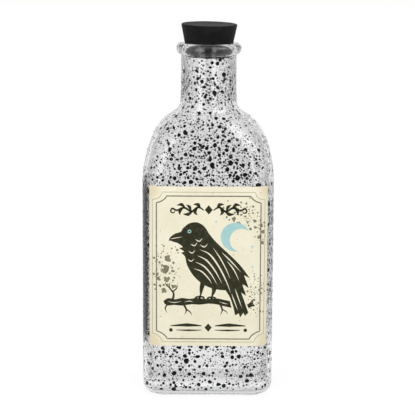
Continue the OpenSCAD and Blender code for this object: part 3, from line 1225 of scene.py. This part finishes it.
    def branch(self) -> None:
        """Prints the gnarled branch with its twigs and open grain."""
        long_part: list[Knot] = [
            (-34.4, 47.6, 1), (-33.4, 45.2, 1), (-30.6, 44.0), (-26.4, 44.4), (-19.8, 44.0), (-13.0, 45.0),
            (-6.4, 44.8), (0.4, 45.6), (6.6, 45.0), (13.0, 43.4), (17.9, 42.4, 1), (16.5, 47.8, 1),
            (12.6, 48.6), (6.4, 49.8), (-1.2, 49.4), (-8.4, 50.0), (-14.6, 49.4), (-20.2, 50.0),
            (-25.4, 49.0), (-30.6, 49.8)]
        end_part: list[Knot] = [
            (29.6, 45.0, 1), (31.2, 41.8, 1), (32.8, 43.2), (36.0, 44.0, 1), (34.4, 46.2), (34.8, 49.8, 1),
            (31.6, 46.4)]
        grain: list[list[Knot]] = [
            [(-31.0, 47.4), (-26.0, 46.4), (-20.4, 47.4)],
            [(-18.2, 46.8), (-14.6, 47.6), (-11.8, 46.8)],
            [(8.4, 47.2), (12.0, 46.0), (15.4, 45.4)]]
        twigs: list[tuple[list[Knot], list[float]]] = [
            ([(-27.4, 48.2), (-26.6, 53.6), (-29.8, 58.4), (-29.2, 62.8)], [1.9, 1.4, 1.0, 0.0]),
            ([(-27.6, 54.6), (-24.2, 57.8), (-23.6, 61.0)], [1.1, 0.8, 0.0]),
            ([(-18.6, 44.6), (-16.8, 40.4), (-18.2, 36.6)], [1.8, 1.2, 0.0]),
            ([(-17.2, 41.2), (-13.8, 38.8), (-12.6, 36.0)], [1.1, 0.8, 0.0]),
            ([(9.4, 44.6), (10.8, 40.6), (9.2, 36.4)], [1.7, 1.1, 0.0]),
            ([(-31.6, 44.6), (-33.0, 41.4), (-31.4, 38.0)], [1.3, 0.9, 0.0]),
            ([(-29.6, 58.0), (-32.4, 60.6), (-32.2, 64.4)], [0.9, 0.7, 0.0]),
            ([(10.2, 41.4), (13.8, 39.4), (14.8, 36.8)], [1.0, 0.7, 0.0])]
        wood, sticks = Sheet(), Sheet()
        slits = []
        for knots in grain:
            slit = Sheet()
            slit.stroke(knots, [0.0, 0.6, 0.0])
            slits.append(slit.points[0::2] + slit.points[1::2][::-1])
        wood.pierced(curve_through(long_part, closed=True), slits)
        wood.patch(curve_through(end_part, closed=True))
        for knots, widths in twigs:
            sticks.stroke(knots, widths)
        self.press(wood, "branch_print", self.dark, 0.229, self.picture_rise)
        self.press(sticks, "twig_print", self.dark, 0.226, self.picture_rise)

    def sky(self) -> None:
        """Prints the pale crescent moon, the stars and the ring of the raven's eye."""
        sheet = Sheet()
        r, bite, shift, turn = 11.2, 0.8, 0.46, math.radians(-28)
        tip = math.acos((1 + shift ** 2 - bite ** 2) / (2 * shift))
        inner_tip = math.atan2(math.sin(tip), math.cos(tip) - shift)
        rim = [(math.cos(a), math.sin(a)) for a in (tip + (2 * math.pi - 2 * tip) * t for t in fractions(40))]
        back = [inner_tip + (2 * math.pi - 2 * inner_tip) * (1 - t) for t in fractions(32, 1)[:-1]]
        rim += [(shift + bite * math.cos(a), bite * math.sin(a)) for a in back]
        c, s = math.cos(turn), math.sin(turn)
        sheet.patch([(20.5 + r * (x * c - y * s), 98.0 + r * (x * s + y * c)) for x, y in rim])
        for x, y, size in ((33.4, 90.4, 1.9), (31.2, 110.4, 1.6), (5.6, 110.0, 1.4), (33.6, 74.6, 1.5)):
            turns = [(k * math.pi / 4, size if k % 2 == 0 else size * 0.3) for k in range(8)]
            sheet.patch([(x + d * math.cos(a), y + d * math.sin(a)) for a, d in turns])
        sheet.disc(-14.6, 102.2, 1.7)
        self.press(sheet, "moon_and_stars_print", self.blue, 0.223, self.picture_rise)

    def ornament(self, scroll_v: float = 107.0, rule_v: float = 14.6) -> None:
        """Prints the leafy scroll above the picture and the tapered rule below it."""
        leaves: list[tuple[list[Knot], list[float]]] = [
            ([(3.6, -0.4), (8.0, 2.0), (13.0, -1.2), (18.6, 1.6), (24.0, -0.4), (27.6, 1.0), (28.8, -1.4),
              (26.6, -2.4), (25.6, -0.6)], [0.7, 1.6, 1.6, 1.6, 1.5, 1.4, 1.1, 0.9, 0.3]),
            ([(6.6, 1.4), (8.2, 4.0), (11.8, 4.2)], [0.8, 2.8, 0.0]),
            ([(8.6, 1.8), (10.4, -1.8), (8.4, -4.2)], [0.8, 2.6, 0.0]),
            ([(12.2, -0.8), (15.6, -3.4), (19.6, -3.2)], [0.8, 2.8, 0.0]),
            ([(13.6, -0.8), (14.6, 2.2), (17.2, 4.0)], [0.8, 2.5, 0.0]),
            ([(18.0, 1.4), (20.6, 4.0), (24.4, 3.4)], [0.8, 2.7, 0.0]),
            ([(19.6, 1.4), (22.0, -1.6), (21.6, -4.0)], [0.8, 2.2, 0.0])]
        rules: list[tuple[list[Knot], list[float]]] = [
            ([(5.0, 1.4), (16.0, 2.0), (29.0, 1.4)], [0.5, 2.8, 0.4]),
            ([(5.0, -2.0), (15.0, -2.2), (24.5, -2.0)], [0.4, 1.4, 0.4])]
        stems, bars = Sheet(), Sheet()
        for knots, widths in leaves:
            stems.stroke([(x, scroll_v + y) for x, y in knots], widths, mirrored=True)
        for knots, widths in rules:
            bars.stroke([(x, rule_v + y) for x, y in knots], widths, mirrored=True)
        for sheet, v, size in ((stems, scroll_v, 3.6), (bars, rule_v, 3.3)):
            sheet.patch([(size * 0.85, v), (0.0, v + size), (-size * 0.85, v), (0.0, v - size)])
        for x in (-28.6, 28.6):
            bars.disc(x, rule_v - 2.0, 1.4)
        self.press(stems, "scroll_print", self.dark, 0.229)
        self.press(bars, "rule_print", self.dark, 0.229)

    def splashes(self) -> None:
        """Prints the grey ink splashes that age the label, gathered at places on its sides."""
        draw = Random(self.seed)
        sheet = Sheet()
        taken: list[tuple[float, float, float]] = []
        places = [(-35.0, 58.5, 3.0, 4.0, 3, 6.5, 2.0), (-33.5, 56.0, 7.0, 12.0, 18, 3.0, 2.0),
                  (-33.5, 57.0, 7.0, 11.0, 60, 1.4, 1.2),
                  (-33.5, 62.0, 9.0, 17.0, 280, 0.3, 1.6), (26.0, 104.0, 13.0, 9.0, 130, 0.25, 3.0),
                  (40.0, 91.0, 5.0, 9.0, 12, 1.6, 2.4), (40.0, 91.0, 6.0, 10.0, 100, 0.25, 2.4),
                  (36.5, 42.0, 8.0, 15.0, 220, 0.25, 1.5), (0.0, 62.0, 42.0, 56.0, 90, 0.25, 0.5)]
        for u, v, wide, high, count, least, spread in places:
            for _ in range(count):
                x, y = draw.gauss(u, wide * 0.5), draw.gauss(v, high * 0.5)
                size = least + min(spread, draw.expovariate(2.2 / spread))
                if abs(x) > 44.8 - size * 0.8 or not 1.0 + size < y < 124.0 - size:
                    continue
                if any(math.hypot(x - a, y - b) < (size + other) * 0.62 for a, b, other in taken):
                    continue
                taken.append((x, y, size))
                ragged = min(1.0, size / 3)
                waves = [(n, draw.uniform(0.3, 1) * a * (0.4 + ragged), draw.uniform(0, 6.3))
                         for n, a in ((2, 0.16), (3, 0.14), (4, 0.1), (5, 0.09), (7, 0.06))]
                sides = 14 + int(14 * ragged)
                outline = []
                for k in range(sides):
                    a = k * 2 * math.pi / sides
                    r = size / 2 * (1 + sum(s * math.cos(n * a + p) for n, s, p in waves))
                    outline.append((x + r * math.cos(a), y + r * math.sin(a)))
                sheet.blot(x, y, outline)
        self.press(sheet, "ink_splashes", self.splash, 0.2205)

    def build(self) -> None:
        """Prints everything, from the frame to the splashes."""
        self.frame()
        self.raven()
        self.sky()
        self.ornament()
        self.splashes()


@dataclass(frozen=True)
class Glow:
    """A soft-edged softbox as it mirrors in the glass. Angles are degrees from the bottle's axis."""

    azimuth: float
    elevation: float
    half_width: float
    half_height: float
    radiance: float
    edge: float = 0.5

    def window(self, tree: bpy.types.NodeTree, angle: bpy.types.NodeSocket, middle: float,
               half: float) -> bpy.types.NodeSocket:
        """A factor that is 1 within a range of angles and falls off softly at its ends.

        Args:
            tree: The world's nodes.
            angle: The angle looked at, in radians.
            middle: The range's middle in degrees.
            half: Half the range in degrees.

        Returns:
            The factor's socket.
        """
        off = add_node(tree, "Math", {"operation": "SUBTRACT"}, {0: angle, 1: math.radians(middle)})
        off = add_node(tree, "Math", {"operation": "ABSOLUTE"}, {0: off.outputs[0]})
        ends = math.radians(half * (1 + self.edge)), math.radians(half * (1 - self.edge))
        return add_node(tree, "MapRange", {"interpolation_type": "SMOOTHSTEP"}, {
            "Value": off.outputs[0], "From Min": ends[0], "From Max": ends[1]}).outputs[0]


@dataclass
class Studio:
    """A pale floor, a white surround, two strip softboxes and the camera."""

    distance: float = 1.3
    look_down: float = math.radians(11.53)
    aim_z: float = 143.07
    px_per_mm: float = 1.28
    frame_px: int = 415
    roll: float = math.radians(0.3)
    shift_px: float = 0.6
    sensor: float = 36.0
    front_level: float = 0.22
    glows: tuple[Glow, ...] = (
        Glow(-35, 12, 15, 34, 2.7, 0.6), Glow(22, 20, 9, 42, 2.3, 0.6), Glow(56, 47, 21, 21, 3.6, 0.8))

    def build(self) -> None:
        """Sets up everything round the bottle."""
        self.floor()
        self.surround()
        self.softbox("left_softbox", -34, 0.8, 0.6, 1.0, 1.12)
        self.softbox("right_softbox", 26, 0.8, 0.6, 1.0, 1.18)
        self.camera()

    def floor(self) -> None:
        """A wide pale floor that reads as white, keeps a faint shadow and mirrors softly in the glass."""
        start_clean()
        bpy.ops.mesh.primitive_plane_add(size=12)
        floor = bpy.context.object
        floor.name = "studio_floor"
        material, tree = new_material("pale_floor")
        path = add_node(tree, "LightPath").outputs
        bent = add_node(tree, "Math", {"operation": "MAXIMUM"}, {
            0: path["Is Glossy Ray"], 1: path["Is Transmission Ray"]}).outputs[0]
        seen = add_node(tree, "Math", {"operation": "MAXIMUM"}, {
            0: path["Is Camera Ray"], 1: bent}).outputs[0]
        place = add_node(tree, "TexCoord").outputs["Object"]
        depth = add_node(tree, "SeparateXYZ", {}, {0: place}).outputs["Y"]
        shade = add_node(tree, "MapRange", {}, {
            "Value": depth, "From Min": -0.25, "From Max": -0.06, "To Min": self.front_level, "To Max": 0.95})
        level = add_node(tree, "Mix", {"data_type": "FLOAT"}, {"Factor": bent, 2: 0.9, 3: shade.outputs[0]})
        plain = add_node(tree, "BsdfDiffuse", {}, {"Color": (0.8, 0.8, 0.8, 1)})
        dim = add_node(tree, "BsdfDiffuse", {}, {"Color": (0.16, 0.16, 0.16, 1)})
        glow = add_node(tree, "Emission", {}, {"Color": (1, 1, 1, 1), "Strength": level.outputs[0]})
        both = add_node(tree, "AddShader", {}, {0: dim.outputs[0], 1: glow.outputs[0]})
        mix = add_node(tree, "MixShader", {}, {0: seen, 1: plain.outputs[0], 2: both.outputs[0]})
        away = add_node(tree, "VectorMath", {"operation": "LENGTH"}, {0: place}).outputs["Value"]
        far = add_node(tree, "Math", {"operation": "GREATER_THAN"}, {0: away, 1: 0.45})
        open_end = add_node(tree, "Math", {"operation": "MULTIPLY"}, {0: far.outputs[0], 1: bent})
        through = add_node(tree, "BsdfTransparent", {}, {"Color": (1, 1, 1, 1)})
        ends = add_node(tree, "MixShader", {}, {
            0: open_end.outputs[0], 1: mix.outputs[0], 2: through.outputs[0]})
        add_node(tree, "OutputMaterial", {}, {"Surface": ends.outputs[0]})
        floor.data.materials.append(material)

    def surround(self) -> None:
        """White behind the bottle, darker in front, with the softboxes as they mirror in the glass."""
        world = bpy.data.worlds.new("studio")
        bpy.context.scene.world = world
        world.use_nodes = True
        tree = world.node_tree
        tree.nodes.clear()
        path = add_node(tree, "LightPath").outputs
        bent = add_node(tree, "Math", {"operation": "MAXIMUM"}, {
            0: path["Is Glossy Ray"], 1: path["Is Transmission Ray"]})
        turned = add_node(tree, "Math", {"operation": "ADD"}, {
            0: path["Glossy Depth"], 1: path["Diffuse Depth"]})
        mirrored = add_node(tree, "Math", {"operation": "GREATER_THAN"}, {0: turned.outputs[0], 1: 0.5})
        towards = add_node(tree, "TexCoord").outputs["Generated"]
        parts = add_node(tree, "SeparateXYZ", {}, {0: towards}).outputs
        around = add_node(tree, "MapRange", {}, {
            "Value": parts["Y"], "From Min": -0.95, "From Max": -0.4, "To Min": self.front_level})
        forward = add_node(tree, "Math", {"operation": "MULTIPLY"}, {0: parts["Y"], 1: -1.0})
        azimuth = add_node(tree, "Math", {"operation": "ARCTAN2"}, {0: parts["X"], 1: forward.outputs[0]})
        elevation = add_node(tree, "Math", {"operation": "ARCSINE"}, {0: parts["Z"]})
        level = around.outputs[0]
        for glow in self.glows:
            wide = glow.window(tree, azimuth.outputs[0], glow.azimuth, glow.half_width)
            high = glow.window(tree, elevation.outputs[0], glow.elevation, glow.half_height)
            both = add_node(tree, "Math", {"operation": "MULTIPLY"}, {0: wide, 1: high})
            level = add_node(tree, "Math", {"operation": "MULTIPLY_ADD"}, {
                0: both.outputs[0], 1: glow.radiance, 2: level}).outputs[0]
        level = add_node(tree, "Mix", {"data_type": "FLOAT"}, {
            "Factor": mirrored.outputs[0], 2: 1.0, 3: level}).outputs[0]
        lit = add_node(tree, "Mix", {"data_type": "FLOAT"}, {"Factor": bent.outputs[0], 2: 0.6, 3: level})
        strength = add_node(tree, "Mix", {"data_type": "FLOAT"}, {
            "Factor": path["Is Camera Ray"], 2: lit.outputs[0], 3: 1.0})
        white = add_node(tree, "Background", {}, {"Color": (1, 1, 1, 1), "Strength": strength.outputs[0]})
        add_node(tree, "OutputWorld", {}, {"Surface": white.outputs[0]})

    def softbox(self, name: str, azimuth: float, distance: float, width: float, height: float,
                radiance: float) -> None:
        """Stands an upright area light in front of the bottle.

        Args:
            name: Its name.
            azimuth: Degrees to the right of the camera.
            distance: Metres from the bottle's axis.
            width: Its width in metres.
            height: Its height in metres.
            radiance: How bright its face is, where 1 is white.
        """
        start_clean()
        turn = math.radians(azimuth)
        centre = Vector((math.sin(turn), -math.cos(turn), 0)) * distance + Vector((0, 0, height / 2))
        bpy.ops.object.light_add(type="AREA", location=centre)
        lamp = bpy.context.object
        lamp.name = name
        lamp.data.shape = "RECTANGLE"
        lamp.data.size, lamp.data.size_y = width, height
        lamp.data.energy = radiance * math.pi * width * height
        towards = Vector((-centre.x, -centre.y, 0))
        lamp.rotation_euler = towards.to_track_quat("-Z", "Z").to_euler()
        lamp.visible_glossy = False
        lamp.visible_transmission = False

    def camera(self) -> None:
        """Puts the camera where the photograph was taken from."""
        aim = Vector((0, 0, self.aim_z * MM))
        back = Vector((0, -math.cos(self.look_down), math.sin(self.look_down)))
        bpy.ops.object.camera_add(location=aim + back * self.distance)
        camera = bpy.context.object
        view = (-back).to_track_quat("-Z", "Y") @ Matrix.Rotation(self.roll, 3, "Z").to_quaternion()
        camera.rotation_euler = view.to_euler()
        focal_px = self.px_per_mm / MM * self.distance
        camera.data.sensor_width = self.sensor
        camera.data.lens = focal_px * self.sensor / self.frame_px
        camera.data.shift_x = -self.shift_px / self.frame_px
        bpy.context.scene.camera = camera


def main() -> None:
    """Builds the bottle, its paint, its stopper and its label, then the studio."""
    logging.basicConfig(level=logging.INFO, format="%(message)s")
    bottle = GlassBottle()
    bottle.build()
    PaintSpatter(bottle).build_all()
    RubberStopper().build()
    label = PaperLabel(bottle)
    label.build()
    LabelPrint(label).build()
    Studio().build()
    bpy.context.scene.view_settings.view_transform = "Standard"


if __name__ == "__main__":
    main()
